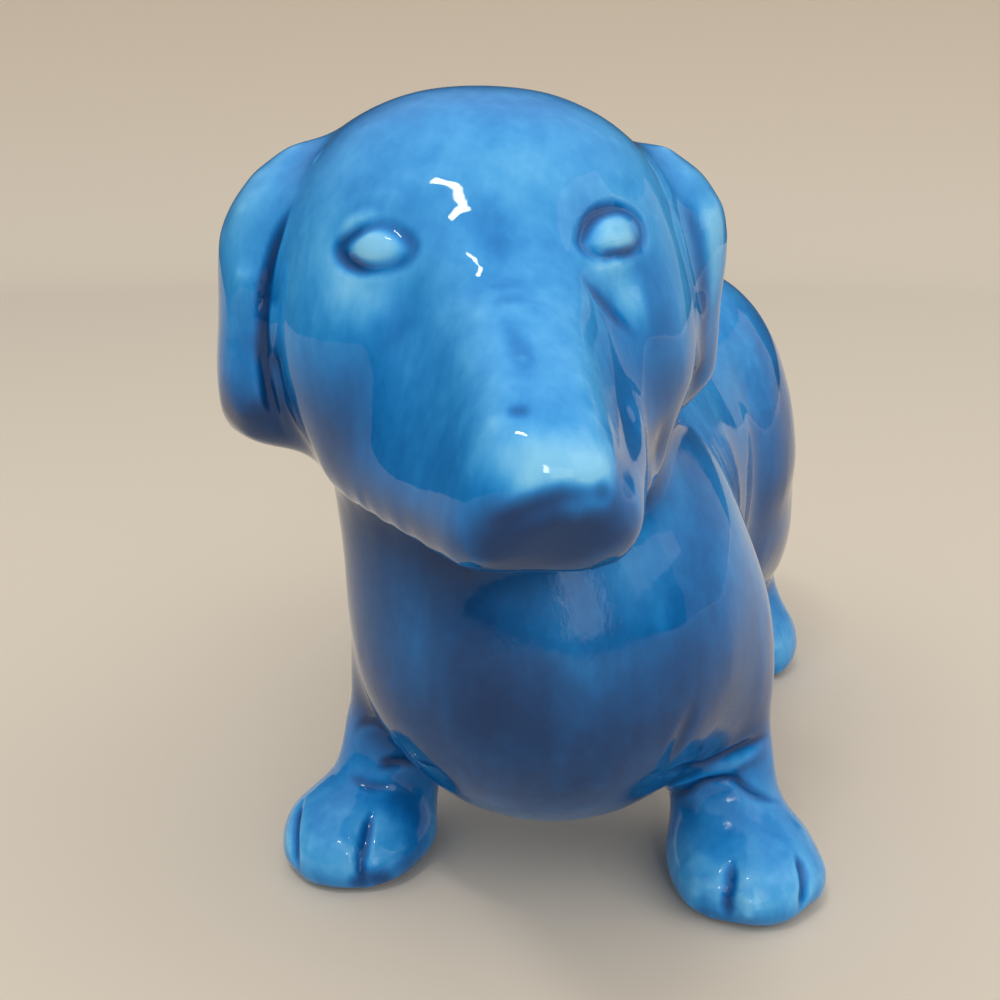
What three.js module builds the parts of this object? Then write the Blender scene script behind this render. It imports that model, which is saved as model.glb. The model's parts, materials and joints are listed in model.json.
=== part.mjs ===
// A standing dachshund figurine, slip-cast in one piece and covered in a glossy blue glaze.
// Millimetres, +Z up. The dog faces -Y, so its own left side is +X. Its head is turned a little
// to its left. The origin is on the ground, under the middle of the figure's bounding box.
//
// The figure is worked like clay: plain solid shapes are fused into one mass with soft fillets,
// and lines are pressed into it. The skin of that mass is then covered with one closed net of
// four-sided cells whose corners all lie on it. The net is finer where the carving is finer.
import * as THREE from "three";

const { abs, floor, hypot, max, min } = Math;
const DEGREE = Math.PI / 180;
const UP = new THREE.Vector3(0, 0, 1);

// Driving dimensions. Every other size below is stated beside the feature that it shapes.
const CHEST = { centre: [-1.5, 0, 59.5], radii: [42, 43, 43] };
const BARREL = { centre: [0, 64, 70], radii: [36.5, 76, 45.5] };
const RUMP = { centre: [0, 113, 75], radii: [49.5, 44, 53.5] };
const HEAD = { centre: [-10, -26, 131], turn: 20 };
const FRONT_PAW = {
  right: { place: [-44.2, -4, 4], grooves: [-0.58, 0.3] },
  left: { place: [41.1, 0.5, 4], grooves: [-0.16, 0.64] },
  radii: [18.5, 20, 13.5],
};
const HIND_PAW = {
  right: { place: [-43, 127, 5], grooves: [-0.36, 0.36] },
  left: { place: [43.5, 126, 5], grooves: [-0.36, 0.36] },
  radii: [14.5, 18, 15],
};
const GLAZE_BLUE = 0x2b7fc4;

// Shapes. Each is a function of a point [x, y, z] that gives how far outside the shape the point
// is, negative inside, and nearly true close to the surface.
const minus = (a, b) => [a[0] - b[0], a[1] - b[1], a[2] - b[2]];
const mix = (a, b, t) => a + (b - a) * t;
const clamp01 = (t) => min(1, max(0, t));
const smooth = (t) => clamp01(t) ** 2 * (3 - 2 * clamp01(t));

function rotation([aboutX, aboutY, aboutZ]) {
  const angles = new THREE.Euler(aboutX * DEGREE, aboutY * DEGREE, aboutZ * DEGREE, "ZYX");
  return new THREE.Matrix4().makeRotationFromEuler(angles).elements;
}

// A shape made level at the origin, turned by three angles in degrees and then moved to a place.
function placed(place, angles, shape) {
  const m = rotation(angles);
  return (p) => {
    const x = p[0] - place[0];
    const y = p[1] - place[1];
    const z = p[2] - place[2];
    return shape([
      m[0] * x + m[1] * y + m[2] * z,
      m[4] * x + m[5] * y + m[6] * z,
      m[8] * x + m[9] * y + m[10] * z,
    ]);
  };
}

// An ellipsoid, or with a power over 2 one with fuller shoulders.
function egg([cx, cy, cz], [rx, ry, rz], power = 2) {
  return ([x, y, z]) => {
    const [u, v, w] = [abs(x - cx) / rx, abs(y - cy) / ry, abs(z - cz) / rz];
    const share = (u ** power + v ** power + w ** power) ** (1 / power);
    const slope = hypot(u ** (power - 1) / rx, v ** (power - 1) / ry, w ** (power - 1) / rz);
    return slope < 1e-9 ? -min(rx, ry, rz) : (share ** (power - 1) * (share - 1)) / slope;
  };
}

// Nearest place on the chain of straight lengths through some points: its distance, and the
// number of the point there, counted on in fractions.
function nearestOn(points, [x, y, z]) {
  const best = { distance: Infinity, at: 0 };
  for (let i = 0; i + 1 < points.length; i++) {
    const [ax, ay, az] = points[i];
    const [bx, by, bz] = minus(points[i + 1], points[i]);
    const along = ((x - ax) * bx + (y - ay) * by + (z - az) * bz) / (bx * bx + by * by + bz * bz);
    const t = clamp01(along);
    const distance = hypot(x - ax - t * bx, y - ay - t * by, z - az - t * bz);
    if (distance < best.distance) Object.assign(best, { distance, at: i + t });
  }
  return best;
}

function smoothPath(points, steps = 8) {
  const curve = new THREE.CatmullRomCurve3(points.map(([x, y, z]) => new THREE.Vector3(x, y, z)));
  return curve.getPoints(steps * (points.length - 1)).map((point) => point.toArray());
}

// A round bar along a smooth curve through the stations, each [x, y, z, radius].
function bar(stations) {
  const steps = 8;
  const path = smoothPath(stations, steps);
  return (p) => {
    const { distance, at } = nearestOn(path, p);
    const i = min(stations.length - 2, floor(at / steps));
    return distance - mix(stations[i][3], stations[i + 1][3], at / steps - i);
  };
}

// A block that runs along -Y through sections, each { y, top, bottom, crown, base }: the heights
// of its upper and lower faces and half its width at each. Its long edges are rounded.
function wedge(sections, round) {
  return ([x, y, z]) => {
    const i = max(0, min(sections.length - 2, sections.findLastIndex((section) => y <= section.y)));
    const [a, b] = [sections[i], sections[i + 1]];
    const t = clamp01((y - a.y) / (b.y - a.y));
    const half = mix(a.top - a.bottom, b.top - b.bottom, t) / 2 - round;
    const crown = mix(a.crown, b.crown, t) - round;
    const base = mix(a.base, b.base, t) - round;
    const across = abs(x);
    const up = z - mix(a.top + a.bottom, b.top + b.bottom, t) / 2;
    const lean = crown - base;
    const along = ((crown - across) * lean + (half - up) * 2 * half) / (lean ** 2 + 4 * half ** 2);
    const side = [across - crown + lean * clamp01(along), up - half + 2 * half * clamp01(along)];
    const flat = [across - min(across, up < 0 ? base : crown), abs(up) - half];
    const inside = side[0] < 0 && flat[1] < 0;
    const beside = (inside ? -1 : 1) * min(hypot(...side), hypot(...flat)) - round;
    return max(beside, y - sections[0].y, sections.at(-1).y - y);
  };
}

// Joins shapes with a fillet of about the given size, or cuts one shape out of another.
const blend = (a, b, size) => min(a, b) - max(size - abs(a - b), 0) ** 2 / size / 4;
const fuse = (size, ...shapes) => (p) =>
  shapes.slice(1).reduce((value, shape) => blend(value, shape(p), size), shapes[0](p));
const cut = (size, shape, tool) => (p) => -blend(-shape(p), tool(p), size);

// Presses a rounded line into a shape along a path. A negative depth raises a ridge.
function press(shape, path, width, depth) {
  return (p) => {
    const { distance } = nearestOn(path, p);
    return distance < width ? shape(p) + depth * (1 - smooth(distance / width)) : shape(p);
  };
}

// Raises the skin by a height around a place, or sinks it where the height is negative. The
// raised patch has a flat top out to a third of its radii.
const SWELL_TOP = 0.33;

function swell(shape, place, angles, radii, height) {
  const spot = placed(place, angles, ([x, y, z]) => hypot(x / radii[0], y / radii[1], z / radii[2]));
  return (p) => shape(p) - height * (1 - smooth((spot(p) - SWELL_TOP) / (1 - SWELL_TOP)));
}

// Body: a deep chest, a long barrel and a full rump in one line, with a thick neck that leans to
// the dog's right under the head. The tapering tail hangs down against the rump, as a mould needs.
function body() {
  const trunk = fuse(
    24,
    egg(CHEST.centre, CHEST.radii),
    egg(BARREL.centre, BARREL.radii),
    egg(RUMP.centre, RUMP.radii, 2.4),
  );
  const neck = bar([
    [-7.5, 8, 76, 36],
    [-12.5, -4, 95, 33.7],
    [-12, -16, 118, 30],
  ]);
  const tail = bar([
    [0, 140, 102, 13],
    [0, 156, 91, 10.5],
    [0, 163, 73, 8.5],
    [0, 165, 57, 7.5],
    [0, 168, 43, 6.5],
  ]);
  return fuse(12, trunk, neck, tail);
}

// Paws: a low dome with two grooves between three toes. A groove's place is a share of the
// paw's half width, counted toward the dog's left.
function paw({ place: [x, y, z], grooves }, [width, length, height]) {
  const paths = grooves.map((share) => [
    [x + share * width, y - 0.5 * length, z + 0.8 * height],
    [x + share * width, y - 0.9 * length, z + 0.4 * height],
    [x + share * width, y - 0.95 * length, z - height],
  ]);
  const dome = egg([x, y, z], [width, length, height]);
  return paths.reduce((shape, path) => press(shape, smoothPath(path), 3.5, 1.8), dome);
}

// Legs: short and thick. The upper arm and the thigh bulge out of the flank.
function frontLeg(foot) {
  const [x, y] = foot.place;
  const side = Math.sign(x);
  const shoulder = egg([x * 0.7, 12, 50], [16.5, 24, 28]);
  const shin = bar([
    [x - side * 10, y + 12, 46, 14],
    [x - side * 6.8, y + 11, 28, 12.8],
    [x - side * 3.5, y + 9, 12, 12.5],
  ]);
  const elbow = smoothPath([
    [side * 24, -14, 34],
    [side * 35, -6, 32],
    [side * 45, 4, 33],
    [side * 48, 14, 36],
  ]);
  return fuse(3, press(fuse(5, shoulder, shin), elbow, 5, 1.6), paw(foot, FRONT_PAW.radii));
}

function hindLeg(foot) {
  const [x, y] = foot.place;
  const side = Math.sign(x);
  const thigh = egg([side * 30, 114, 60], [21, 33, 37]);
  const hock = bar([
    [side * 33, y - 2, 42, 16],
    [side * 37, y + 6, 26, 11.5],
    [x, y + 4, 11, 11],
  ]);
  return fuse(6, fuse(14, thigh, hock), paw(foot, HIND_PAW.radii));
}

// A soft fold runs down in front of each haunch and back under it, above the lower leg.
function withFold(torso, side) {
  const fold = [
    [side * 34, 80, 98],
    [side * 39, 79, 87],
    [side * 40, 77, 74],
    [side * 41, 78, 63],
    [side * 45, 85, 57],
    [side * 50, 97, 58],
    [side * 53, 110, 60],
  ];
  return press(torso, smoothPath(fold), 11, 1.8);
}

// Head, made level, with the middle of the skull at the origin: a broad skull, full cheeks, a
// wedge of a muzzle with flat sides, a straight bridge and a blunt nose, and hanging ears.
function muzzle() {
  const block = wedge(
    [
      { y: 5, top: 22, bottom: -35, crown: 13, base: 30 },
      { y: -20, top: 20, bottom: -35, crown: 12, base: 28 },
      { y: -34, top: 10, bottom: -35, crown: 10.5, base: 23.5 },
      { y: -52, top: -4, bottom: -35, crown: 9.5, base: 16.5 },
      { y: -76, top: -19, bottom: -35, crown: 8.5, base: 8.5 },
    ],
    6,
  );
  const front = placed([0, -69.5, -20], [-8, 0, 0], ([, y]) => y);
  const under = placed([0, -66, -30], [34, 0, 0], ([, y]) => y);
  const blunt = cut(2.5, cut(6, block, front), under);
  const nostrils = [-6, 6.5].reduce(
    (shape, x) => swell(shape, [x, -69, -24], [0, 0, 0], [3.5, 4, 3], -1),
    blunt,
  );
  return press(nostrils, [[1, -67, -26], [-1, -62, -36]], 3.5, 1);
}

// The dog's right ear hangs lower than its left one.
const EARS = [
  { side: -1, out: 39.6, hang: -8, flare: 8, length: 20.5, tipHeight: -21 },
  { side: 1, out: 36.2, hang: -4, flare: 3, length: 19.5, tipHeight: -13 },
];

function ear({ side, out, hang, flare, length, tipHeight }) {
  const lobe = placed(
    [side * out, 4, hang],
    [0, side * -flare, side * -6],
    egg([0, 0, 0], [7, 17, length], 2.6),
  );
  const root = placed([side * 33.5, 4, 12], [0, side * -30, 0], egg([0, 0, 0], [7.5, 12, 13]));
  const tip = egg([side * 35, 0, tipHeight], [6, 12, 9]);
  return fuse(10, fuse(4, lobe, tip), root);
}

// The eyes aren't quite a pair: the dog's right eye sits a little wider. Each is a low bead in
// an almond-shaped hollow, and a crease runs from its inner corner down beside the muzzle.
const EYES = [
  [-19, -31, 7],
  [15.5, -33, 7],
];

function withEye(face, [x, y, z]) {
  const side = Math.sign(x);
  const hollow = swell(face, [x, y, z], [0, 0, x * 1.6], [12, 16, 8], -1.8);
  const bead = swell(hollow, [x, y, z], [0, 0, x * 1.6], [8.2, 16, 5.4], 2.2);
  const crease = [
    [side * 12, -36, -3],
    [side * 16, -34, -8],
    [side * 22, -30, -15],
  ];
  return press(bead, smoothPath(crease), 6, 1.2);
}

function head() {
  const skull = egg([-0.7, 0, -0.3], [34.8, 36, 32.5], 2.25);
  const cheeks = egg([0, -10, -15], [32, 26, 20]);
  const face = EYES.reduce(withEye, fuse(7, fuse(16, skull, cheeks), muzzle()));
  const seam = smoothPath([
    [28, -4, 22],
    [35, -9, 8],
    [36, -11, -8],
    [33, -11, -28],
  ]);
  const withEars = fuse(3, face, ...EARS.map(ear));
  const seams = [seam, seam.map(([x, y, z]) => [-x, y, z])];
  return seams.reduce((shape, path) => press(shape, path, 4, 2), withEars);
}

// The whole dog, with the paws ground flat where it stands.
function wholeDog() {
  const [frontRight, frontLeft] = [FRONT_PAW.right, FRONT_PAW.left].map(frontLeg);
  const [hindRight, hindLeft] = [HIND_PAW.right, HIND_PAW.left].map(hindLeg);
  const torso = [-1, 1].reduce(withFold, fuse(10, body(), hindRight, hindLeft));
  const onLegs = fuse(5, torso, frontRight, frontLeft);
  const dog = fuse(10, onLegs, placed(HEAD.centre, [0, 0, HEAD.turn], head()));
  return cut(4, dog, ([, , z]) => z);
}

// The room that holds the dog is divided into cells. Lenses pull cells together at the head and
// at small carving. A place in the room is counted in cells, and roomToWorld gives it in
// millimetres.
const CELL = 5.8;
const ROOM = { corner: [-90, -133, -9], cells: [31, 61, 36] };
const LENSES = [
  { centre: onHead([0, -14, -8]), reach: 95, pull: 0.46 },
  ...EYES.map((eye) => ({ centre: onHead(eye), reach: 24, pull: 0.56 })),
  { centre: onHead([0, -60, -26]), reach: 30, pull: 0.42 },
  ...[FRONT_PAW.right, FRONT_PAW.left].map(({ place: [x, y] }) => ({
    centre: [x, y - 14, 8],
    reach: 34,
    pull: 0.6,
  })),
  ...[HIND_PAW.right, HIND_PAW.left].map(({ place: [x, y] }) => ({
    centre: [x, y - 12, 8],
    reach: 32,
    pull: 0.55,
  })),
];

function onHead(place) {
  const turned = new THREE.Vector3(...place).applyAxisAngle(UP, HEAD.turn * DEGREE);
  return turned.add(new THREE.Vector3(...HEAD.centre)).toArray();
}

function roomToWorld(q) {
  let p = q.map((cells, axis) => ROOM.corner[axis] + cells * CELL);
  for (const { centre, reach, pull } of LENSES) {
    const offset = minus(p, centre);
    const share = pull * (1 - smooth(hypot(...offset) / reach));
    p = minus(p, offset.map((value) => value * share));
  }
  return p;
}

// The skin: one net corner in each cell that the skin passes through, and one four-sided face
// around each grid line that pierces it.
function netOver(shape, size) {
  const at = (i, j, k) => (k * size[1] + j) * size[0] + i;
  const values = new Float32Array(size[0] * size[1] * size[2]);
  const everywhere = (margin, visit) => {
    for (let k = 0; k < size[2] - margin; k++)
      for (let j = 0; j < size[1] - margin; j++)
        for (let i = 0; i < size[0] - margin; i++) visit(i, j, k);
  };
  everywhere(0, (i, j, k) => (values[at(i, j, k)] = shape([i, j, k])));

  const ends = [0, 1, 2, 3, 4, 5, 6, 7].map((bits) => [bits & 1, (bits >> 1) & 1, bits >> 2]);
  const edges = ends.flatMap((_, from) =>
    [1, 2, 4].filter((bit) => !(from & bit)).map((bit) => [from, from | bit]),
  );
  const corners = [];
  const cornerAt = new Map();
  everywhere(1, (i, j, k) => {
    const here = ends.map(([a, b, c]) => values[at(i + a, j + b, k + c)]);
    const pierced = edges.filter(([from, to]) => here[from] < 0 !== here[to] < 0);
    if (pierced.length === 0) return;
    const middle = [i, j, k].map((cell, axis) => {
      const places = pierced.map(([from, to]) =>
        mix(ends[from][axis], ends[to][axis], here[from] / (here[from] - here[to])),
      );
      return cell + places.reduce((a, b) => a + b) / places.length;
    });
    cornerAt.set(at(i, j, k), corners.length);
    corners.push(middle);
  });

  const faces = [];
  const axes = [
    [1, 0, 0],
    [0, 1, 0],
    [0, 0, 1],
  ];
  everywhere(1, (i, j, k) => {
    const inside = values[at(i, j, k)] < 0;
    axes.forEach(([a, b, c], axis) => {
      if (inside === values[at(i + a, j + b, k + c)] < 0) return;
      const [u, v] = [axes[(axis + 1) % 3], axes[(axis + 2) % 3]];
      const cell = (m, n) =>
        cornerAt.get(at(i - m * u[0] - n * v[0], j - m * u[1] - n * v[1], k - m * u[2] - n * v[2]));
      const around = [cell(0, 0), cell(1, 0), cell(1, 1), cell(0, 1)];
      faces.push(inside ? around : around.reverse());
    });
  });
  return { corners, faces };
}

// Moves a point along the slope of a shape until it lies on the skin.
function dropOnto(shape, p) {
  const reach = 0.02;
  for (let step = 0; step < 3; step++) {
    const value = shape(p);
    const slope = p.map((_, axis) => {
      const ahead = [...p];
      ahead[axis] += reach;
      return (shape(ahead) - value) / reach;
    });
    const steepness = max(slope[0] ** 2 + slope[1] ** 2 + slope[2] ** 2, 0.1);
    p = p.map((coordinate, axis) => coordinate - (value * slope[axis]) / steepness);
  }
  return p;
}

// Evens out the net: each corner moves toward the middle of its neighbours and back to the skin.
function settled({ corners, faces }, shape, rounds) {
  const neighbours = corners.map(() => new Set());
  for (const face of faces)
    face.forEach((corner, i) => {
      const next = face[(i + 1) % 4];
      neighbours[corner].add(next);
      neighbours[next].add(corner);
    });
  for (let round = 0; round < rounds; round++)
    corners = corners.map((corner, n) => {
      const near = [...neighbours[n]].map((other) => corners[other]);
      const eased = corner.map((coordinate, axis) => {
        const mean = near.reduce((total, point) => total + point[axis], 0) / near.length;
        return mix(coordinate, mean, 0.6);
      });
      return dropOnto(shape, eased);
    });
  return { corners, faces };
}

function geometryOf({ corners, faces }) {
  const apart = (a, b) => hypot(...minus(corners[a], corners[b]));
  const triangles = faces.flatMap(([a, b, c, d]) =>
    apart(a, c) < apart(b, d) ? [a, b, c, a, c, d] : [b, c, d, b, d, a],
  );
  const geometry = new THREE.BufferGeometry();
  geometry.setAttribute("position", new THREE.Float32BufferAttribute(corners.flat(), 3));
  geometry.setIndex(triangles);
  return geometry;
}

function skinOf(shape) {
  const inRoom = (q) => shape(roomToWorld(q));
  const size = ROOM.cells.map((cells) => cells + 1);
  const { corners, faces } = settled(netOver(inRoom, size), inRoom, 5);
  const onGround = ([x, y, z]) => [x, y, z < 0.05 ? 0 : z];
  return geometryOf({ corners: corners.map((q) => onGround(roomToWorld(q))), faces });
}

const glaze = new THREE.MeshStandardMaterial({ color: GLAZE_BLUE, roughness: 0.12, metalness: 0 });
const dachshund = new THREE.Mesh(skinOf(wholeDog()), glaze);
dachshund.name = "dachshund";
dachshund.geometry.computeBoundingBox();
const middle = dachshund.geometry.boundingBox.getCenter(new THREE.Vector3());
dachshund.position.set(-middle.x, -middle.y, 0);

const figurine = new THREE.Group();
figurine.name = "dog_figurine";
figurine.add(dachshund);
export default figurine;
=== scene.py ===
# %% [markdown]
# A glazed dachshund
#
# The real object is an earthenware dog, cast in one piece and dipped in a clear blue glaze.
# The imported model already has its form and size. This script makes the skin finer, works the small
# carving into it, and then gives it the glaze: pale where it has run thin over an edge, navy where
# it has pooled in a crease, and glossy all over. Painted shade and painted highlights are worked
# into the glaze's colour as well: darker on the breast, the throat, the haunch, the underside, the
# crown and an ear's tip, paler on the nose and an ear's edge. Everything is in metres.

# %% Load the imported figure as the fixed frame
import json
import math

import bpy
import numpy as np
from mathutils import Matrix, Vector

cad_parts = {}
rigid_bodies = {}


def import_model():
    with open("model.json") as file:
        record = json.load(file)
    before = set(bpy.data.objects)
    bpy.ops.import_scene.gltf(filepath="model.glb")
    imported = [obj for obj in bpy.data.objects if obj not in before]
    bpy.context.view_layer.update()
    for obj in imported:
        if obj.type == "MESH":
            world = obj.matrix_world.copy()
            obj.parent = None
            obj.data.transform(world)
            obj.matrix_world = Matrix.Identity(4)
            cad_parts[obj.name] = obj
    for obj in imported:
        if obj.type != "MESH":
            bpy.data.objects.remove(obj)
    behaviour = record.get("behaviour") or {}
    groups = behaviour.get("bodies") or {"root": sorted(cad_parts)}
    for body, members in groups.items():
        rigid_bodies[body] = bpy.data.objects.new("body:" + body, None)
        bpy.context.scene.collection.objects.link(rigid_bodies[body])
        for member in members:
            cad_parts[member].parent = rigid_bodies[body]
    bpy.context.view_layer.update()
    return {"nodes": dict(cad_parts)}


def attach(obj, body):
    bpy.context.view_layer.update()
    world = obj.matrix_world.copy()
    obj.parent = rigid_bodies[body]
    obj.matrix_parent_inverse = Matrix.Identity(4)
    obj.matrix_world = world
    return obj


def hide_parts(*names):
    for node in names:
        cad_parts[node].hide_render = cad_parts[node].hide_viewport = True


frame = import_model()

# %% [markdown]
# The camera
#
# A phone's camera looked down on the dog from its left front. The camera was found by drawing the
# figure's outline through it until it fell close to the outline in the photo, so its place and
# angle are measured numbers. The focal length is given in pixels of a frame 1000 pixels wide.

# %% Camera at the photo's viewing angle
FRAME_SIDE = 1000
FOCAL_PIXELS = 1153
SENSOR_MM = 36
CAMERA_PLACE = Vector((0.0374, -0.2681, 0.146))
CAMERA_TURN = math.radians(12)
CAMERA_DIP = math.radians(15)

bpy.ops.object.camera_add(
    location=CAMERA_PLACE, rotation=(math.radians(90) - CAMERA_DIP, 0, CAMERA_TURN)
)
camera = bpy.context.object
camera.name = "camera"
camera.data.sensor_fit = "HORIZONTAL"
camera.data.sensor_width = SENSOR_MM
camera.data.lens = SENSOR_MM * FOCAL_PIXELS / FRAME_SIDE
camera.data.clip_start = 0.01
bpy.context.scene.camera = camera
print("lens", round(camera.data.lens, 1), "mm")

# %% [markdown]
# The floor
#
# A pale paper floor, and a round wall of the same paper that rises from it in a wide curve, so
# that no line crosses the picture from any side. The floor is one plane. The wall is a ring of
# edges that is extruded outwards and then upwards, and its corner is bevelled round. Only the
# camera sees the wall: the glaze would mirror it, and the real dog mirrors darker surroundings.

# %% A pale floor
FLOOR_SIZE = 9.0

bpy.ops.object.select_all(action="DESELECT")
bpy.ops.mesh.primitive_plane_add(size=FLOOR_SIZE, location=(0, 0, 0))
floor = bpy.context.object
floor.name = "paper_floor"
print("the floor is", FLOOR_SIZE, "m wide")

# %% A round wall that curves up from it
RING_START, RING_END = 1.5, 2.5
RING_SIDES = 128
WALL_HEIGHT = 2.2
WALL_CURVE, CURVE_STEPS = 0.9, 24
ABOVE_FLOOR = 0.0005


def select_edges_where(piece, test):
    """Selects the edges of a mesh whose middle passes a test, and leaves it in edit mode."""
    bpy.ops.object.mode_set(mode="EDIT")
    bpy.ops.mesh.select_all(action="DESELECT")
    bpy.ops.mesh.select_mode(type="EDGE")
    bpy.ops.object.mode_set(mode="OBJECT")
    places = [vertex.co for vertex in piece.data.vertices]
    for edge in piece.data.edges:
        edge.select = test((places[edge.vertices[0]] + places[edge.vertices[1]]) / 2)
    bpy.ops.object.mode_set(mode="EDIT")


bpy.ops.object.select_all(action="DESELECT")
bpy.ops.mesh.primitive_circle_add(
    vertices=RING_SIDES, radius=RING_START, location=(0, 0, ABOVE_FLOOR)
)
wall = bpy.context.object
wall.name = "paper_wall"
bpy.ops.object.transform_apply(location=True, rotation=True, scale=True)
bpy.ops.object.mode_set(mode="EDIT")
bpy.ops.mesh.select_all(action="SELECT")
bpy.ops.mesh.extrude_edges_move()
outwards = RING_END / RING_START
bpy.ops.transform.resize(value=(outwards, outwards, 1), center_override=(0, 0, 0))
bpy.ops.mesh.extrude_edges_move(TRANSFORM_OT_translate={"value": (0, 0, WALL_HEIGHT)})
bpy.ops.object.mode_set(mode="OBJECT")
outer_edge = 0.9 * RING_END
select_edges_where(wall, lambda m: m.xy.length > outer_edge and m.z < 2 * ABOVE_FLOOR)
bpy.ops.mesh.bevel(offset=WALL_CURVE, segments=CURVE_STEPS, affect="EDGES")
bpy.ops.mesh.select_all(action="SELECT")
bpy.ops.mesh.normals_make_consistent(inside=True)
bpy.ops.object.mode_set(mode="OBJECT")
bpy.ops.object.shade_smooth()
wall.visible_diffuse = False
wall.visible_glossy = False
wall.visible_shadow = False
print("the wall has", len(wall.data.polygons), "faces")

# %% [markdown]
# The light
#
# A glaze is seen by what it mirrors. A long narrow light above and in front leaves the bright bar
# on the forehead. A small bright one at the front left leaves the spots on the nose and the toes,
# and a wider, weaker one beside it the pale panel on the breast. Two large weak ones, at the left
# and at the back left, are mirrored along the flank and the haunch. They are so far off that all
# the floor inside the wall lies in front of them, and no edge of their light crosses it. A soft
# dome, brighter overhead and to the front and weak at the horizon, shapes the back and keeps the
# creases and the underside dark.

# %% Studio lights
FIGURE_MIDDLE = Vector((0, 0, 0.09))


def studio_light(name, azimuth, elevation, distance, size, radiance, colour=(1, 1, 1)):
    """An area light that looks at the figure. Azimuth 0 is in front, and 90 on the dog's left.

    Its radiance is in watts per square metre and steradian, so its size doesn't change how bright
    it looks in the glaze.
    """
    turn, rise = math.radians(azimuth), math.radians(elevation)
    level = math.cos(rise)
    towards = Vector((math.sin(turn) * level, -math.cos(turn) * level, math.sin(rise)))
    aim = towards.to_track_quat("Z", "Y").to_euler()
    bpy.ops.object.light_add(
        type="AREA", location=FIGURE_MIDDLE + towards * distance, rotation=aim
    )
    light = bpy.context.object
    light.name = name
    light.data.shape = "RECTANGLE"
    light.data.size, light.data.size_y = size
    light.data.energy = radiance * math.pi * size[0] * size[1]
    light.data.color = colour
    light.visible_camera = False


studio_light("bar_light", -13, 59.5, 0.9, (0.17, 0.065), 32)
studio_light("spot_light", 17, 21.5, 1.1, (0.07, 0.13), 20)
studio_light("panel_light", 30, 16, 1.1, (0.36, 0.42), 1.5)
studio_light("side_light", 80, 36, 2.8, (2.1, 1.75), 0.8)
studio_light("back_light", 118, 12, 2.8, (3.15, 1.6), 0.45, colour=(1, 0.82, 0.66))

# %% A soft dome overhead
DOME_LOW, DOME_HIGH = 0.05, 0.95
DOME_DARK, DOME_BRIGHT = 0.06, 0.93
DOME_AXIS = (0, -0.2, 0.98)
DOME_COLOUR = (0.96, 0.98, 1.0, 1)

world = bpy.data.worlds.new("studio")
world.use_nodes = True
dome = world.node_tree
sky = dome.nodes["Background"]
sky.inputs["Color"].default_value = DOME_COLOUR
direction = dome.nodes.new("ShaderNodeTexCoord")
along = dome.nodes.new("ShaderNodeVectorMath")
along.operation = "DOT_PRODUCT"
along.inputs[1].default_value = DOME_AXIS
dome.links.new(direction.outputs["Generated"], along.inputs[0])
rise = dome.nodes.new("ShaderNodeMapRange")
rise.interpolation_type = "SMOOTHSTEP"
rise.inputs["From Min"].default_value = DOME_LOW
rise.inputs["From Max"].default_value = DOME_HIGH
rise.inputs["To Min"].default_value = DOME_DARK
rise.inputs["To Max"].default_value = DOME_BRIGHT
dome.links.new(along.outputs["Value"], rise.inputs["Value"])
dome.links.new(rise.outputs["Result"], sky.inputs["Strength"])
bpy.context.scene.world = world
bpy.context.scene.view_settings.view_transform = "Standard"

# %% [markdown]
# The skin of the figure
#
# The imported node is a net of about 9,000 triangles, and it isn't touched. A copy of it is merged,
# its triangles are joined back into four-sided faces, and the net is divided twice and then eased.
# That rounds off its facets.

# %% Copy the node and make its skin finer
MERGE_WITHIN = 1e-6
DIVISIONS = 2
EASING, EASING_ROUNDS = 0.5, 18

bpy.ops.object.select_all(action="DESELECT")
node = frame["nodes"]["dachshund"]
node.select_set(True)
bpy.context.view_layer.objects.active = node
bpy.ops.object.duplicate()
dog = bpy.context.object
dog.name = "glazed_dachshund"
bpy.ops.object.parent_clear(type="CLEAR_KEEP_TRANSFORM")
for key in list(dog.keys()):
    del dog[key]

bpy.ops.object.mode_set(mode="EDIT")
bpy.ops.mesh.select_all(action="SELECT")
bpy.ops.mesh.remove_doubles(threshold=MERGE_WITHIN)
bpy.ops.mesh.tris_convert_to_quads(face_threshold=math.pi, shape_threshold=math.pi)
bpy.ops.object.mode_set(mode="OBJECT")


def apply_modifier(piece, kind, **settings):
    """Adds a modifier to a piece and applies it."""
    bpy.context.view_layer.objects.active = piece
    modifier = piece.modifiers.new(kind.title(), kind)
    for name, value in settings.items():
        setattr(modifier, name, value)
    bpy.ops.object.modifier_apply(modifier=modifier.name)


apply_modifier(dog, "SUBSURF", levels=DIVISIONS, render_levels=DIVISIONS)
bpy.ops.object.mode_set(mode="EDIT")
bpy.ops.mesh.select_all(action="SELECT")
bpy.ops.mesh.vertices_smooth(factor=EASING, repeat=EASING_ROUNDS)
bpy.ops.object.mode_set(mode="OBJECT")
bpy.ops.object.shade_smooth()
print("the skin has", len(dog.data.vertices), "vertices")

# %% [markdown]
# Carving by line
#
# Small carving follows lines: the rim of an eye, the crease beside the muzzle, the gaps between
# toes. A sculptor would draw the line on the clay and press a tool along it. Here a line is drawn
# in the photo's frame, in pixels, and thrown onto the skin along the camera's own rays. Each
# vertex near it gets a weight, and a Displace modifier presses the weighted skin in or raises it.
# The weight dies away towards both ends of a line, as a tool does that is lifted off.


# %% Throw a line onto the skin
def coordinates(piece):
    """The places of a piece's vertices, one row each."""
    places = np.empty(len(piece.data.vertices) * 3)
    piece.data.vertices.foreach_get("co", places)
    return places.reshape(-1, 3)


def soften(t):
    """Turns a straight rise from 0 to 1 into one that starts and ends gently."""
    return t * t * (3 - 2 * t)


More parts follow.
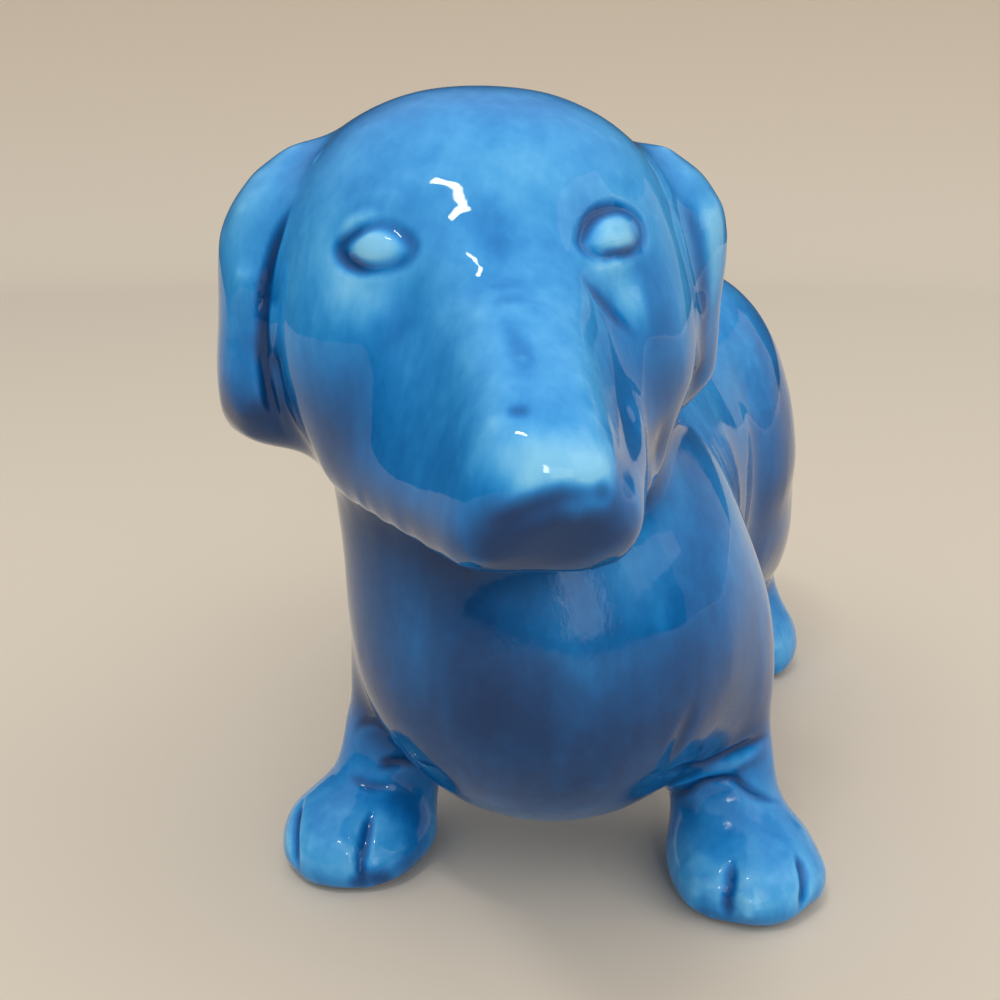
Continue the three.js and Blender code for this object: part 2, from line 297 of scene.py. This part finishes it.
def smooth_line(points, steps=8, closed=False):
    """A curve through all the points, with some steps between each two."""
    points = np.array(points, float)
    if closed:
        stations = np.vstack([points[-1:], points, points[:2]])
    else:
        stations = np.vstack([points[:1], points, points[-1:]])
    t = np.arange(steps)[:, None] / steps
    spans = []
    for a, b, c, d in zip(stations, stations[1:], stations[2:], stations[3:]):
        bend = (-t + 2 * t**2 - t**3) * a + (2 - 5 * t**2 + 3 * t**3) * b
        spans.append((bend + (t + 4 * t**2 - 3 * t**3) * c + (t**3 - t**2) * d) / 2)
    return np.vstack([*spans, points[:1] if closed else points[-1:]])


def drawn(pixels, closed=False):
    """A line on the skin, through pixels of the photo's frame. Rays that miss it are left out."""
    bpy.context.view_layer.update()
    places = []
    for right, down in smooth_line(pixels, closed=closed) - FRAME_SIDE / 2:
        ray = camera.matrix_world.to_3x3() @ Vector((right, -down, -FOCAL_PIXELS))
        hit, place, _, _ = dog.ray_cast(CAMERA_PLACE, ray.normalized())
        if hit:
            places.append(place)
    return np.array(places)


def nearness(places, line, radius, taper=0.0):
    """1 on a line, falling smoothly to 0 at the radius and, with a taper, at the line's ends."""
    weight = np.zeros(len(places))
    inside = (places > line.min(axis=0) - radius) & (places < line.max(axis=0) + radius)
    close = np.where(inside.all(axis=1))[0]
    lengths = np.linalg.norm(np.diff(line, axis=0), axis=1)
    stations = np.concatenate([[0], np.cumsum(lengths)]) / max(lengths.sum(), 1e-9)
    for start, end, first, last in zip(line, line[1:], stations, stations[1:]):
        span = end - start
        along = np.clip((places[close] - start) @ span / max(span @ span, 1e-12), 0, 1)
        apart = np.linalg.norm(places[close] - start - along[:, None] * span, axis=1)
        station = first + along * (last - first)
        full = np.ones(len(close))
        if taper:
            full = soften(np.clip(np.minimum(station, 1 - station) / taper, 0, 1))
        share = np.clip(1 - apart / (radius * (0.5 + 0.5 * full)), 0, 1)
        weight[close] = np.maximum(weight[close], full * soften(share))
    return weight


# %% [markdown]
# The lines
#
# All the lines are noted first, because the skin is divided once more under each of them before
# anything is carved. That puts small cells, half a millimetre wide at the eyes, where the tool
# cuts and nowhere else. Faces under half a square millimetre are small enough already. The brow
# is then smoothed, because it mirrors the long light, and a bar of light shows every dent.

# %% Lines of the face, in pixels of the photo's frame
LINES = {
    "right_eye_corner": [(362, 230), (347, 239), (339, 250), (347, 262), (366, 269), (390, 268)],
    "right_eye_lid": [(336, 238), (349, 225), (367, 217), (386, 216)],
    "left_eye_corner": [(588, 254), (583, 240), (587, 223), (600, 211), (618, 207), (636, 215)],
    "left_eye_lid": [(596, 256), (610, 255), (622, 253), (636, 249)],
    "right_crease": [(430, 258), (417, 284), (399, 312), (382, 338), (366, 362)],
    "left_crease": [(574, 264), (589, 286), (606, 306), (622, 324), (642, 344)],
    "bridge_streak": [(503, 312), (511, 332), (522, 354), (528, 384)],
    "pit": [(515, 411), (520, 411)],
    "bead_of_glaze": [(522, 358), (523, 359)],
    "nose_edge": [(478, 530), (508, 521), (536, 508), (562, 500), (590, 497), (616, 500)],
    "nostril": [(599, 484), (603, 491), (605, 499)],
    "right_ear_seam": [(296, 196), (283, 220), (273, 246), (267, 272), (263, 300), (262, 330),
                       (263, 360), (267, 388), (274, 414), (286, 440)],
    "left_ear_seam": [(681, 188), (694, 222), (701, 252), (704, 290), (703, 330), (699, 365),
                      (692, 390)],
    "muzzle_side": [(634, 425), (637, 455), (636, 485), (634, 512)],
    "jaw_corner": [(662, 452), (655, 468), (650, 482)],
    "inner_corner": [(438, 262), (450, 256), (460, 250)],
}
RIGHT_EYE = [(343, 250), (352, 236), (366, 229), (382, 226), (398, 231), (410, 241),
             (413, 251), (404, 262), (385, 267), (365, 267), (350, 261)]
LEFT_EYE = [(582, 246), (583, 232), (591, 220), (604, 212), (620, 210), (634, 215),
            (642, 227), (642, 241), (633, 250), (614, 254), (597, 255)]
print(len(LINES), "lines on the face, and two eyes")

# %% Lines of the paws and legs
LINES |= {
    "toe_right_outer": [(304, 798), (297, 814), (294, 838), (296, 860), (303, 878)],
    "toe_right_inner": [(373, 806), (367, 830), (363, 850), (361, 868), (363, 886)],
    "toe_left_inner": [(733, 858), (730, 882), (727, 902), (728, 920)],
    "toe_left_outer": [(795, 850), (803, 870), (805, 890), (800, 912)],
    "wrist_upper": [(652, 780), (676, 770), (700, 765), (722, 757), (744, 747), (772, 734)],
    "wrist_welt": [(660, 788), (682, 781), (704, 773), (730, 767), (752, 757), (770, 746)],
    "wrist_lower": [(666, 798), (688, 791), (706, 781), (732, 779), (746, 789), (764, 798),
                    (784, 802)],
    "ankle_arc": [(350, 740), (359, 726), (373, 722), (390, 733)],
    "ankle_notch": [(378, 768), (392, 763), (406, 762), (414, 768)],
    "ankle_lower": [(346, 774), (370, 785), (396, 786)],
    "shoulder_fold": [(698, 690), (686, 726), (674, 752), (660, 776)],
}
print(len(LINES), "lines in all")

# %% Divide the skin once more under the lines
FINER_REACH = 0.0042
FINER_FROM = 0.5e-6
FINER_ROUNDS = 3

centres = np.empty(len(dog.data.polygons) * 3)
dog.data.polygons.foreach_get("center", centres)
centres = centres.reshape(-1, 3)
areas = np.empty(len(dog.data.polygons))
dog.data.polygons.foreach_get("area", areas)
under = np.zeros(len(centres), bool)
for pixels in LINES.values():
    under |= nearness(centres, drawn(pixels), FINER_REACH) > 0
bpy.ops.object.mode_set(mode="EDIT")
bpy.ops.mesh.select_mode(type="FACE")
bpy.ops.mesh.select_all(action="DESELECT")
bpy.ops.object.mode_set(mode="OBJECT")
dog.data.polygons.foreach_set("select", under & (areas > FINER_FROM))
bpy.ops.object.mode_set(mode="EDIT")
bpy.ops.mesh.subdivide(number_cuts=1)
bpy.ops.mesh.vertices_smooth(factor=EASING, repeat=FINER_ROUNDS)
bpy.ops.object.mode_set(mode="OBJECT")
print("the skin has", sum(len(face.vertices) - 2 for face in dog.data.polygons), "triangles")

# %% Smooth the brow, where the long light is mirrored
BROW = [(408, 172), (440, 190), (464, 216), (480, 250)]
BROW_CORNER = [(428, 272), (452, 254), (480, 240), (500, 232)]
BROW_REACH, CORNER_REACH = 0.017, 0.011
BROW_ROUNDS = 260
TOUCHED = 0.001


def work_weighted(name, weights, kind, **settings):
    """Applies a modifier to the dog through a vertex group of weights, and counts the vertices."""
    group = dog.vertex_groups.new(name=name)
    touched = np.where(weights > TOUCHED)[0]
    for index in touched:
        group.add([int(index)], float(weights[index]), "REPLACE")
    apply_modifier(dog, kind, vertex_group=name, **settings)
    dog.vertex_groups.remove(dog.vertex_groups[name])
    return len(touched)


brow_weights = np.maximum(
    nearness(coordinates(dog), drawn(BROW), BROW_REACH),
    nearness(coordinates(dog), drawn(BROW_CORNER), CORNER_REACH),
)
moved = work_weighted("brow", brow_weights, "SMOOTH", factor=EASING, iterations=BROW_ROUNDS)
print("smoothed", moved, "vertices of the brow")

# %% Helpers to carve, and to note where glaze pools and where painted shade and highlights go
dog.data.attributes.new("pooled_and_painted", "FLOAT", "POINT")


def layer(name):
    """The values of an attribute of the dog's vertices."""
    values = np.empty(len(dog.data.vertices), np.float32)
    dog.data.attributes[name].data.foreach_get("value", values)
    return values


def pool_and_paint(weights, share):
    """Adds a share of deeper glaze colour, or takes it off where the share is below 0. It serves
    pooled glaze as well as painted shade and painted highlights.
    """
    dog.data.attributes["pooled_and_painted"].data.foreach_set(
        "value", (layer("pooled_and_painted") + weights * share).astype(np.float32)
    )


def carve(name, weights, height, pooling_and_shade=0.0):
    """Moves the weighted skin out by a height, and notes how much deeper the glaze colour is there:
    pooled glaze, and under the nose painted shade.
    """
    moved = work_weighted(
        name, weights, "DISPLACE", direction="NORMAL", mid_level=0, strength=height
    )
    pool_and_paint(weights, pooling_and_shade)
    print(name, "moved", moved, "vertices by", round(height * 1000, 2), "mm")


def carve_line(name, radius, height, pooling_and_shade=0.0, taper=0.3):
    """Carves along one of the lines noted above. A height below 0 presses the skin in."""
    weights = nearness(coordinates(dog), drawn(LINES[name]), radius, taper)
    carve(name, weights, height, pooling_and_shade)


def pool_and_paint_along(pixels, radius, share, taper=0.0):
    """Deepens or thins the glaze's colour along a line, without moving the skin, for pooled glaze
    and for painted shade and highlights.
    """
    pool_and_paint(nearness(coordinates(dog), drawn(pixels), radius, taper), share)


def pool_and_paint_at(places):
    """Does that at named places, each with pixels, a radius, a share and perhaps a taper."""
    for place in places.values():
        pool_and_paint_along(*place)
    print("glaze noted at:", ", ".join(places))


# %% [markdown]
# The face
#
# Each eye is a low bead inside an almond-shaped rim, pressed in with a tool. The glaze lies deep
# in the outer corner and thin on the bead and the lids. A crease runs from the inner corner of
# each eye down beside the muzzle, soft on the dog's right and sharp on its left.

# %% Eyes
BEAD_SHARE, BEAD_REACH, BEAD_HEIGHT = 0.2, 0.0041, 0.0006
RIM_REACH, RIM_DEPTH = 0.0019, 0.0004

for name, outline in (("right_eye", RIGHT_EYE), ("left_eye", LEFT_EYE)):
    rim = drawn(outline, closed=True)
    middle = rim.mean(axis=0)
    bead = middle + (rim - middle) * BEAD_SHARE
    near_bead = nearness(coordinates(dog), bead, BEAD_REACH)
    carve(name + "_bead", near_bead, BEAD_HEIGHT, pooling_and_shade=-0.16)
    near_rim = nearness(coordinates(dog), rim, RIM_REACH)
    carve(name + "_rim", near_rim, -RIM_DEPTH, pooling_and_shade=0.12)
carve_line("right_eye_corner", radius=0.0022, height=-0.0004, pooling_and_shade=0.28, taper=0.4)
carve_line("right_eye_lid", radius=0.0022, height=0.0003, pooling_and_shade=-0.12, taper=0.4)
carve_line("left_eye_corner", radius=0.0020, height=-0.0003, pooling_and_shade=0.20, taper=0.4)
carve_line("left_eye_lid", radius=0.0013, height=-0.0004, pooling_and_shade=0.16, taper=0.3)

# %% Thin glaze around the eyes and on the forehead, and painted shade on the crown
pool_and_paint_at({
    "under_right_eye": ([(352, 286), (374, 292), (396, 284)], 0.0080, -0.18),
    "under_left_eye": ([(606, 268), (618, 284), (626, 300)], 0.0060, -0.22),
    "beside_right_eye": ([(322, 262), (326, 240), (336, 222)], 0.0050, -0.10),
    "forehead": ([(470, 165), (525, 178)], 0.0120, -0.08),
    # The crown is made darker as painted shade, against the light that falls on it from above.
    "painted_shade_on_crown": ([(370, 112), (450, 96), (540, 108)], 0.0140, 0.10),
    "left_cheek": ([(655, 280), (662, 320)], 0.0070, 0.14),
})
print("the eyes are glazed, with", int((layer("pooled_and_painted") < 0).sum()), "vertices thinner")

# %% Creases beside the muzzle
carve_line("inner_corner", radius=0.0070, height=0.0005, taper=0)
carve_line("right_crease", radius=0.0056, height=-0.0003, pooling_and_shade=0.07, taper=0.5)
carve_line("left_crease", radius=0.0018, height=-0.0003, pooling_and_shade=0.08, taper=0.35)
pool_and_paint_along(LINES["left_crease"], 0.0046, 0.12, taper=0.4)

# %% [markdown]
# The nose
#
# The muzzle ends in a blunt face that leans back under the nose. The nose is a pad, with a soft
# groove under it and a small notch for a nostril. The pad is made paler as a painted highlight, and
# the groove and the face under the nose deeper blue as painted shade of the undercut. A pit in the
# casting shows on the bridge, with a bead of glaze above it. On the dog's left the imported form is
# a little lean beside the nose and a little full at the jaw, so the skin is raised and pressed in
# there, and the glaze beside the muzzle is made darker as a painted dark reflection.

# %% Fuller muzzle and leaner jaw on the dog's left
carve_line("muzzle_side", radius=0.0085, height=0.0012, taper=0)
carve_line("jaw_corner", radius=0.0075, height=-0.0012, taper=0)

# %% Nose and bridge
# The darker glaze along the nose's edge is partly pooled glaze and partly painted shade of the
# undercut.
carve_line("nose_edge", radius=0.0030, height=-0.0005, pooling_and_shade=0.20, taper=0.45)
carve_line("nostril", radius=0.0020, height=-0.0002, pooling_and_shade=0.14, taper=0.4)
carve_line("pit", radius=0.0018, height=-0.00012, pooling_and_shade=0.24, taper=0)
carve_line("bead_of_glaze", radius=0.0011, height=0.00035, taper=0)
carve_line("bridge_streak", radius=0.0026, height=-0.0001, pooling_and_shade=0.14, taper=0.45)
# Paler on the nose pad as a painted highlight, darker under the nose as painted shade, and darker
# left of the muzzle as a painted dark reflection.
pool_and_paint_at({
    "upper_ring_of_bridge": ([(474, 292), (508, 284), (548, 288)], 0.0016, 0.10, 0.5),
    "lower_ring_of_bridge": ([(474, 307), (508, 299), (548, 303)], 0.0016, 0.10, 0.5),
    "between_eyes": ([(488, 218), (498, 240)], 0.0055, 0.10),
    "painted_highlight_on_nose_pad": ([(536, 474), (560, 470), (590, 480)], 0.0075, -0.34),
    "right_jaw": ([(340, 420), (400, 462), (450, 490)], 0.0100, 0.05),
    "painted_reflection_left_of_muzzle": ([(626, 395), (632, 440), (628, 480)], 0.0080, 0.20),
    "painted_shade_under_nose": ([(510, 548), (545, 545), (585, 535), (606, 528)], 0.0085, 0.30),
})

# %% [markdown]
# The ears
#
# Each ear lies against the head, with a deep seam between them. The left seam is seen edge-on from
# the camera, where a line thrown onto the skin would jump between the ear and the head. So it is
# left as the imported form has it, and only its glaze is made deeper. Towards the tip of the right
# ear the glaze is made deeper as a painted dark reflection, and along the outer edge of the left ear
# paler as a painted highlight.

# %% Seams of the ears
carve_line("right_ear_seam", radius=0.0018, height=-0.0010, pooling_and_shade=0.22, taper=0.2)
pool_and_paint_along(LINES["right_ear_seam"], 0.0052, 0.14, taper=0.2)
pool_and_paint_along(LINES["left_ear_seam"], 0.0036, 0.24, taper=0.2)
# Painted dark reflection at the right ear's tip, painted highlight along the left ear's edge.
pool_and_paint_at({
    "painted_reflection_at_right_ear_tip": ([(232, 424), (254, 428), (278, 432)], 0.0100, 0.34),
    "painted_highlight_on_left_ear_edge": ([(706, 200), (713, 250), (712, 310)], 0.0055, -0.2, 0.3),
})

# %% [markdown]
# Paws and legs
#
# Two grooves part the toes of each front paw. On the dog's left a welt of skin lies over the wrist,
# between two folds, and on its right there are only short soft dents. The glaze has pooled in all of
# them, and it is darker at the foot of the toes. The inner side of the right paw is made darker as
# painted shade. The hind paws are left plain.

# %% Toes
for name in ("toe_right_outer", "toe_right_inner", "toe_left_inner", "toe_left_outer"):
    carve_line(name, radius=0.0022, height=-0.0010, pooling_and_shade=0.16, taper=0.3)
pool_and_paint_at({
    "foot_of_right_toes": ([(352, 884), (372, 876), (390, 884)], 0.0034, 0.40, 0.2),
    # Painted shade on the inner side of the right paw.
    "painted_shade_inside_right_paw": ([(404, 800), (418, 828), (410, 860)], 0.0075, 0.28),
    "middle_of_left_toes": ([(757, 884), (758, 914)], 0.0012, -0.14, 0.3),
    "right_toes": ([(312, 835), (345, 850), (385, 850)], 0.0060, 0.06),
    "left_hind_paw": ([(783, 628), (788, 645)], 0.0090, -0.04),
})

# %% Folds of the legs
carve_line("wrist_upper", radius=0.0022, height=-0.0010, pooling_and_shade=0.16, taper=0.25)
carve_line("wrist_welt", radius=0.0024, height=0.0006, pooling_and_shade=-0.14, taper=0.3)
carve_line("wrist_lower", radius=0.0017, height=-0.0006, pooling_and_shade=0.12, taper=0.3)
carve_line("ankle_arc", radius=0.0019, height=-0.0005, pooling_and_shade=0.20, taper=0.3)
carve_line("ankle_notch", radius=0.0026, height=-0.0006, pooling_and_shade=0.30, taper=0.3)
carve_line("ankle_lower", radius=0.0020, height=-0.0003, pooling_and_shade=0.14, taper=0.4)
carve_line("shoulder_fold", radius=0.0036, height=-0.0005, pooling_and_shade=0.08, taper=0.45)

# %% [markdown]
# The broad forms
#
# On the breast, the throat and the haunch nothing is carved. There the glaze's colour is only made
# deeper, in wide soft patches, as painted shade where the breast and the throat face down and away
# from the light, and on the side of the haunch. Then the whole skin is eased once, as with a damp
# sponge, which takes the sharp edges off the carving.

# %% Painted shade on the breast, the throat and the haunch
pool_and_paint_at({
    "painted_shade_on_breast": ([(468, 590), (476, 640), (500, 690)], 0.0170, 0.28),
    "painted_shade_left_of_throat": ([(690, 440), (706, 500), (704, 570), (690, 640)], 0.0150, 0.17),
    "painted_shade_top_of_breast": ([(560, 590), (600, 620)], 0.0120, 0.10),
    "painted_shade_on_haunch": ([(762, 330), (784, 400), (790, 470)], 0.0180, 0.16),
})
print("noted glaze from", layer("pooled_and_painted").min().round(2), "to", layer("pooled_and_painted").max().round(2))

# %% Ease the carving
bpy.ops.object.mode_set(mode="EDIT")
bpy.ops.mesh.select_all(action="SELECT")
bpy.ops.mesh.vertices_smooth(factor=EASING, repeat=1)
bpy.ops.object.mode_set(mode="OBJECT")
print("eased", len(dog.data.vertices), "vertices")

# %% [markdown]
# Where the glaze lies deep, and where shade is painted
#
# A clear coloured glaze is darkest where it is thickest. It runs off edges and fills hollows, so its
# depth can be read from the form: each vertex is compared with the average of the skin around it.
# The average is found by evening out the net for some rounds, more of them where the cells are
# small, so that it always reaches about as far. The colour is also made deeper on skin that is steep
# or faces down, most of all low on the body and less on the paws: partly glaze that ran down once
# dipped, and partly painted shade on the undersides, which face away from the light. At the very
# foot it is darker again. The result, glaze depth and painted shade together, is kept on the mesh as
# an attribute.

# %% Measure hollows and edges
skin = coordinates(dog)
edges = np.empty(len(dog.data.edges) * 2, int)
dog.data.edges.foreach_get("vertices", edges)
edges = edges.reshape(-1, 2)
normals = np.array([vertex.normal for vertex in dog.data.vertices])
count = np.bincount(edges.ravel(), minlength=len(skin))
lengths = np.linalg.norm(skin[edges[:, 0]] - skin[edges[:, 1]], axis=1)
cell = np.bincount(edges.ravel(), np.repeat(lengths, 2), len(skin)) / count
MOST_ROUNDS = 160


def hollow(reach):
    """How deep each vertex lies below the average skin within a reach, negative on an edge."""
    rounds = np.clip((reach / cell) ** 2, 1, MOST_ROUNDS)
    average = skin.copy()
    for step in range(int(rounds.max())):
        near = np.empty_like(average)
        for axis in range(3):
            column = average[:, axis]
            ahead = np.bincount(edges[:, 0], column[edges[:, 1]], len(skin))
            behind = np.bincount(edges[:, 1], column[edges[:, 0]], len(skin))
            near[:, axis] = (ahead + behind) / count
        moving = rounds > step
        average[moving] = average[moving] * 0.5 + near[moving] * 0.5
    return ((average - skin) * normals).sum(axis=1)


FINE_REACH, FINE_DEPTH = 0.0022, 0.00025
BROAD_REACH, BROAD_DEPTH = 0.006, 0.0016
fine = hollow(FINE_REACH) / FINE_DEPTH
broad = hollow(BROAD_REACH) / BROAD_DEPTH
print("deepest hollows:", fine.max().round(1), "fine and", broad.max().round(1), "broad")

# %% Add up the glaze's depth and the painted shade
LEVEL, FINE_SHARE, BROAD_SHARE = 0.35, 0.12, 0.20
FINE_LIMITS, BROAD_LIMITS = (-1.5, 2), (-1, 1.5)
STEEP_FROM, STEEP_SPAN = 0.5, 0.8
BODY_TOP, BODY_SPAN, RUN_AND_SHADE_SHARE = 0.145, 0.05, 0.56
PAW_TOP, LEG_SPAN, PAW_SHARE = 0.014, 0.022, 0.25
FOOT, FOOT_SHARE = 0.007, 0.14

up, height = normals[:, 2], skin[:, 2]
steep = soften(np.clip((STEEP_FROM - up) / STEEP_SPAN, 0, 1))
low_down = soften(np.clip((BODY_TOP - height) / BODY_SPAN, 0, 1))
off_the_paw = np.clip((height - PAW_TOP) / LEG_SPAN, PAW_SHARE, 1)
depth_and_shade = LEVEL + FINE_SHARE * np.clip(fine, *FINE_LIMITS)
depth_and_shade += BROAD_SHARE * np.clip(broad, *BROAD_LIMITS)
# Painted shade: steep skin low on the body that faces down gets deeper blue, partly as glaze that
# ran down.
depth_and_shade += RUN_AND_SHADE_SHARE * steep * low_down * off_the_paw
depth_and_shade += FOOT_SHARE * np.clip(1 - height / FOOT, 0, 1)
depth_and_shade = np.clip(depth_and_shade + layer("pooled_and_painted"), 0, 1)
attribute = dog.data.attributes.new("glaze_depth_and_shade", "FLOAT", "POINT")
attribute.data.foreach_set("value", depth_and_shade.astype(np.float32))
print("glaze depth", np.percentile(depth_and_shade, [1, 25, 50, 75, 99]).round(2))

# %% [markdown]
# The glaze
#
# One Principled shader. The colour comes from the glaze's depth through a ramp, from pale cyan where
# it is thin to deep blue where it has pooled; that depth also carries the painted shade and painted
# highlights noted above. Hand dipping leaves the depth uneven, so three noises change it: wide
# clouds, runs that follow the way down, and a fine mottle. They are one node group, placed three
# times. The surface is smooth as glass, with a slight wobble in it, pinholes, and brushed patches
# where the clay's tool marks show through. The forehead has none of those. A pinhole is a pit in the
# surface and deeper in colour, so one group makes both.


# %% Helpers for nodes
def linear(code):
    """A colour written as #rrggbb, turned into the linear values that the shader wants."""
    parts = [int(code[i : i + 2], 16) / 255 for i in (1, 3, 5)]
    return [c / 12.92 if c <= 0.04045 else ((c + 0.055) / 1.055) ** 2.4 for c in parts] + [1]


def add(tree, kind, links=None, **settings):
    """A node in a tree. Links, plain inputs and settings are given by name."""
    made = tree.nodes.new(kind)
    for name, value in settings.items():
        socket = name.replace("_", " ")
        if socket in made.inputs:
            made.inputs[socket].default_value = value
        else:
            setattr(made, name, value)
    for name, output in (links or {}).items():
        tree.links.new(output, made.inputs[name])
    return made


def new_group(name, inputs, output):
    """A shader node group with value inputs, a vector input called Place, and one value output."""
    group = bpy.data.node_groups.new(name, "ShaderNodeTree")
    group.interface.new_socket("Place", in_out="INPUT", socket_type="NodeSocketVector")
    for title in inputs:
        group.interface.new_socket(title, in_out="INPUT", socket_type="NodeSocketFloat")
    group.interface.new_socket(output, in_out="OUTPUT", socket_type="NodeSocketFloat")
    return group, group.nodes.new("NodeGroupInput"), group.nodes.new("NodeGroupOutput")


# %% A group for uneven glaze: noise spread between minus and plus an amount
uneven, given, result = new_group("uneven_glaze", ["Across", "Down", "Amount"], "Change")
across, down = given.outputs["Across"], given.outputs["Down"]
grain = add(uneven, "ShaderNodeCombineXYZ", {"X": across, "Y": across, "Z": down})
spot = add(uneven, "ShaderNodeVectorMath",
           {0: given.outputs["Place"], 1: grain.outputs["Vector"]}, operation="MULTIPLY")
noise = add(uneven, "ShaderNodeTexNoise", {"Vector": spot.outputs["Vector"]},
            Scale=1, Detail=4, Roughness=0.55)
spread = add(uneven, "ShaderNodeMapRange", {"Value": noise.outputs["Fac"]},
             From_Min=0.3, From_Max=0.7, To_Min=-1, To_Max=1)
change = add(uneven, "ShaderNodeMath",
             {0: spread.outputs["Result"], 1: given.outputs["Amount"]}, operation="MULTIPLY")
uneven.links.new(change.outputs["Value"], result.inputs["Change"])
print(uneven.name, "has", len(uneven.nodes), "nodes")

# %% A group for pinholes: one small round spot in a few cells of a Voronoi pattern
pinholes, given, result = new_group("pinholes", ["Scale", "Size", "Share"], "Hole")
cells = add(pinholes, "ShaderNodeTexVoronoi",
            {"Vector": given.outputs["Place"], "Scale": given.outputs["Scale"]})
chosen = add(pinholes, "ShaderNodeMath",
             {0: cells.outputs["Color"], 1: given.outputs["Share"]}, operation="LESS_THAN")
round_spot = add(pinholes, "ShaderNodeMapRange",
                 {"Value": cells.outputs["Distance"], "From Max": given.outputs["Size"]},
                 interpolation_type="SMOOTHSTEP", To_Min=1, To_Max=0)
hole = add(pinholes, "ShaderNodeMath",
           {0: chosen.outputs["Value"], 1: round_spot.outputs["Result"]}, operation="MULTIPLY")
pinholes.links.new(hole.outputs["Value"], result.inputs["Hole"])
print(pinholes.name, "has", len(pinholes.nodes), "nodes")

# %% The glaze's depth with the painted shade, made uneven by clouds, runs and mottle
CLOUDS, RUNS, MOTTLE = (34, 34, 0.055), (150, 22, 0.045), (420, 300, 0.03)
PINHOLE_DEPTH = 0.22

glaze = bpy.data.materials.new("blue_glaze")
glaze.use_nodes = True
tree = glaze.node_tree
shader = tree.nodes["Principled BSDF"]
place = add(tree, "ShaderNodeTexCoord").outputs["Object"]


def place_group(group, **settings):
    """A node group on the dog's own coordinates, with its own values."""
    made = add(tree, "ShaderNodeGroup", node_tree=group)
    for name, value in settings.items():
        made.inputs[name].default_value = value
    tree.links.new(place, made.inputs["Place"])
    return made.outputs[0]


def maths(operation, first, second):
    """One step of sums in the glaze's tree, on outputs or plain numbers."""
    made = add(tree, "ShaderNodeMath", operation=operation)
    for socket, value in zip(made.inputs, (first, second)):
        if isinstance(value, (int, float)):
            socket.default_value = value
        else:
            tree.links.new(value, socket)
    return made.outputs["Value"]


depth_and_shade_now = add(tree, "ShaderNodeAttribute", attribute_name="glaze_depth_and_shade").outputs["Fac"]
for across, down, amount in (CLOUDS, RUNS, MOTTLE):
    change = place_group(uneven, Across=across, Down=down, Amount=amount)
    depth_and_shade_now = maths("ADD", depth_and_shade_now, change)
holes = place_group(pinholes, Scale=85, Size=0.055, Share=0.16)
depth_and_shade_now = maths("ADD", depth_and_shade_now, maths("MULTIPLY", holes, PINHOLE_DEPTH))
print("clouds, runs, mottle and pinholes take", len(tree.nodes), "nodes")

# %% The glaze's colour, and the bare clay of the soles
GLAZE_RAMP = [
    (0.0, "#94dcff"),
    (0.2, "#4cb4f4"),
    (0.4, "#1988d8"),
    (0.6, "#0c64aa"),
    (0.8, "#074b89"),
    (1.0, "#063365"),
]
BARE_CLAY = "#d9c7a8"
SOLE_FROM, SOLE_TO = 0.0001, 0.0006

ramp = add(tree, "ShaderNodeValToRGB", {"Fac": depth_and_shade_now})
ramp.color_ramp.interpolation = "B_SPLINE"
while len(ramp.color_ramp.elements) < len(GLAZE_RAMP):
    ramp.color_ramp.elements.new(0.5)
for element, (position, code) in zip(ramp.color_ramp.elements, GLAZE_RAMP):
    element.position = position
    element.color = linear(code)
above = add(tree, "ShaderNodeSeparateXYZ", {"Vector": place}).outputs["Z"]
bare = add(tree, "ShaderNodeMapRange", {"Value": above},
           From_Min=SOLE_FROM, From_Max=SOLE_TO, To_Min=1, To_Max=0).outputs["Result"]
# A Mix node has its own A, B and result for each kind of data. For colours they are 6, 7 and 2.
colour = add(tree, "ShaderNodeMix", data_type="RGBA")
tree.links.new(bare, colour.inputs[0])
tree.links.new(ramp.outputs["Color"], colour.inputs[6])
colour.inputs[7].default_value = linear(BARE_CLAY)
tree.links.new(colour.outputs[2], shader.inputs["Base Color"])
print("the glaze runs through", len(ramp.color_ramp.elements), "colours")

# %% The glaze's gloss, wobble, pinholes and brush marks
GLOSS, BRUSHED, CLAY = 0.04, 0.11, 0.8
BROW_FROM, BROW_TO = 0.118, 0.136
RELIEF_DEPTH = 0.00005
GLAZE_IOR = 1.42

clouds = place_group(uneven, Across=22, Down=22, Amount=1.0)
patches = add(tree, "ShaderNodeMapRange", {"Value": clouds},
              From_Min=0.05, From_Max=0.7, To_Min=0, To_Max=1).outputs["Result"]
below_brow = add(tree, "ShaderNodeMapRange", {"Value": above},
                 From_Min=BROW_FROM, From_Max=BROW_TO, To_Min=1, To_Max=0).outputs["Result"]
brushed = maths("MULTIPLY", patches, below_brow)
gloss = add(tree, "ShaderNodeMapRange", {"Value": brushed}, To_Min=GLOSS, To_Max=BRUSHED)
rough = maths("MAXIMUM", gloss.outputs["Result"], maths("MULTIPLY", bare, CLAY))
tree.links.new(rough, shader.inputs["Roughness"])

wobble = place_group(uneven, Across=85, Down=85, Amount=0.25)
marks = maths("MULTIPLY", place_group(uneven, Across=800, Down=300, Amount=0.36), brushed)
relief = maths("SUBTRACT", maths("ADD", wobble, marks), holes)
bump = add(tree, "ShaderNodeBump", {"Height": relief}, Strength=1.0, Distance=RELIEF_DEPTH)
tree.links.new(bump.outputs["Normal"], shader.inputs["Normal"])
shader.inputs["IOR"].default_value = GLAZE_IOR

dog.data.materials.clear()
dog.data.materials.append(glaze)
print("the glaze has", len(tree.nodes), "nodes")

# %% Paper of the floor and the wall
PAPER, PAPER_ROUGHNESS = "#ecdcc6", 0.9

paper = bpy.data.materials.new("pale_paper")
paper.use_nodes = True
paper_shader = paper.node_tree.nodes["Principled BSDF"]
paper_shader.inputs["Base Color"].default_value = linear(PAPER)
paper_shader.inputs["Roughness"].default_value = PAPER_ROUGHNESS
for piece in (floor, wall):
    piece.data.materials.append(paper)
    print(piece.name, "is", paper.name)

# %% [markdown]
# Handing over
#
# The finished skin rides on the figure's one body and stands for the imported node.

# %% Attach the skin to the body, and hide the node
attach(dog, "root")
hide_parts("dachshund")
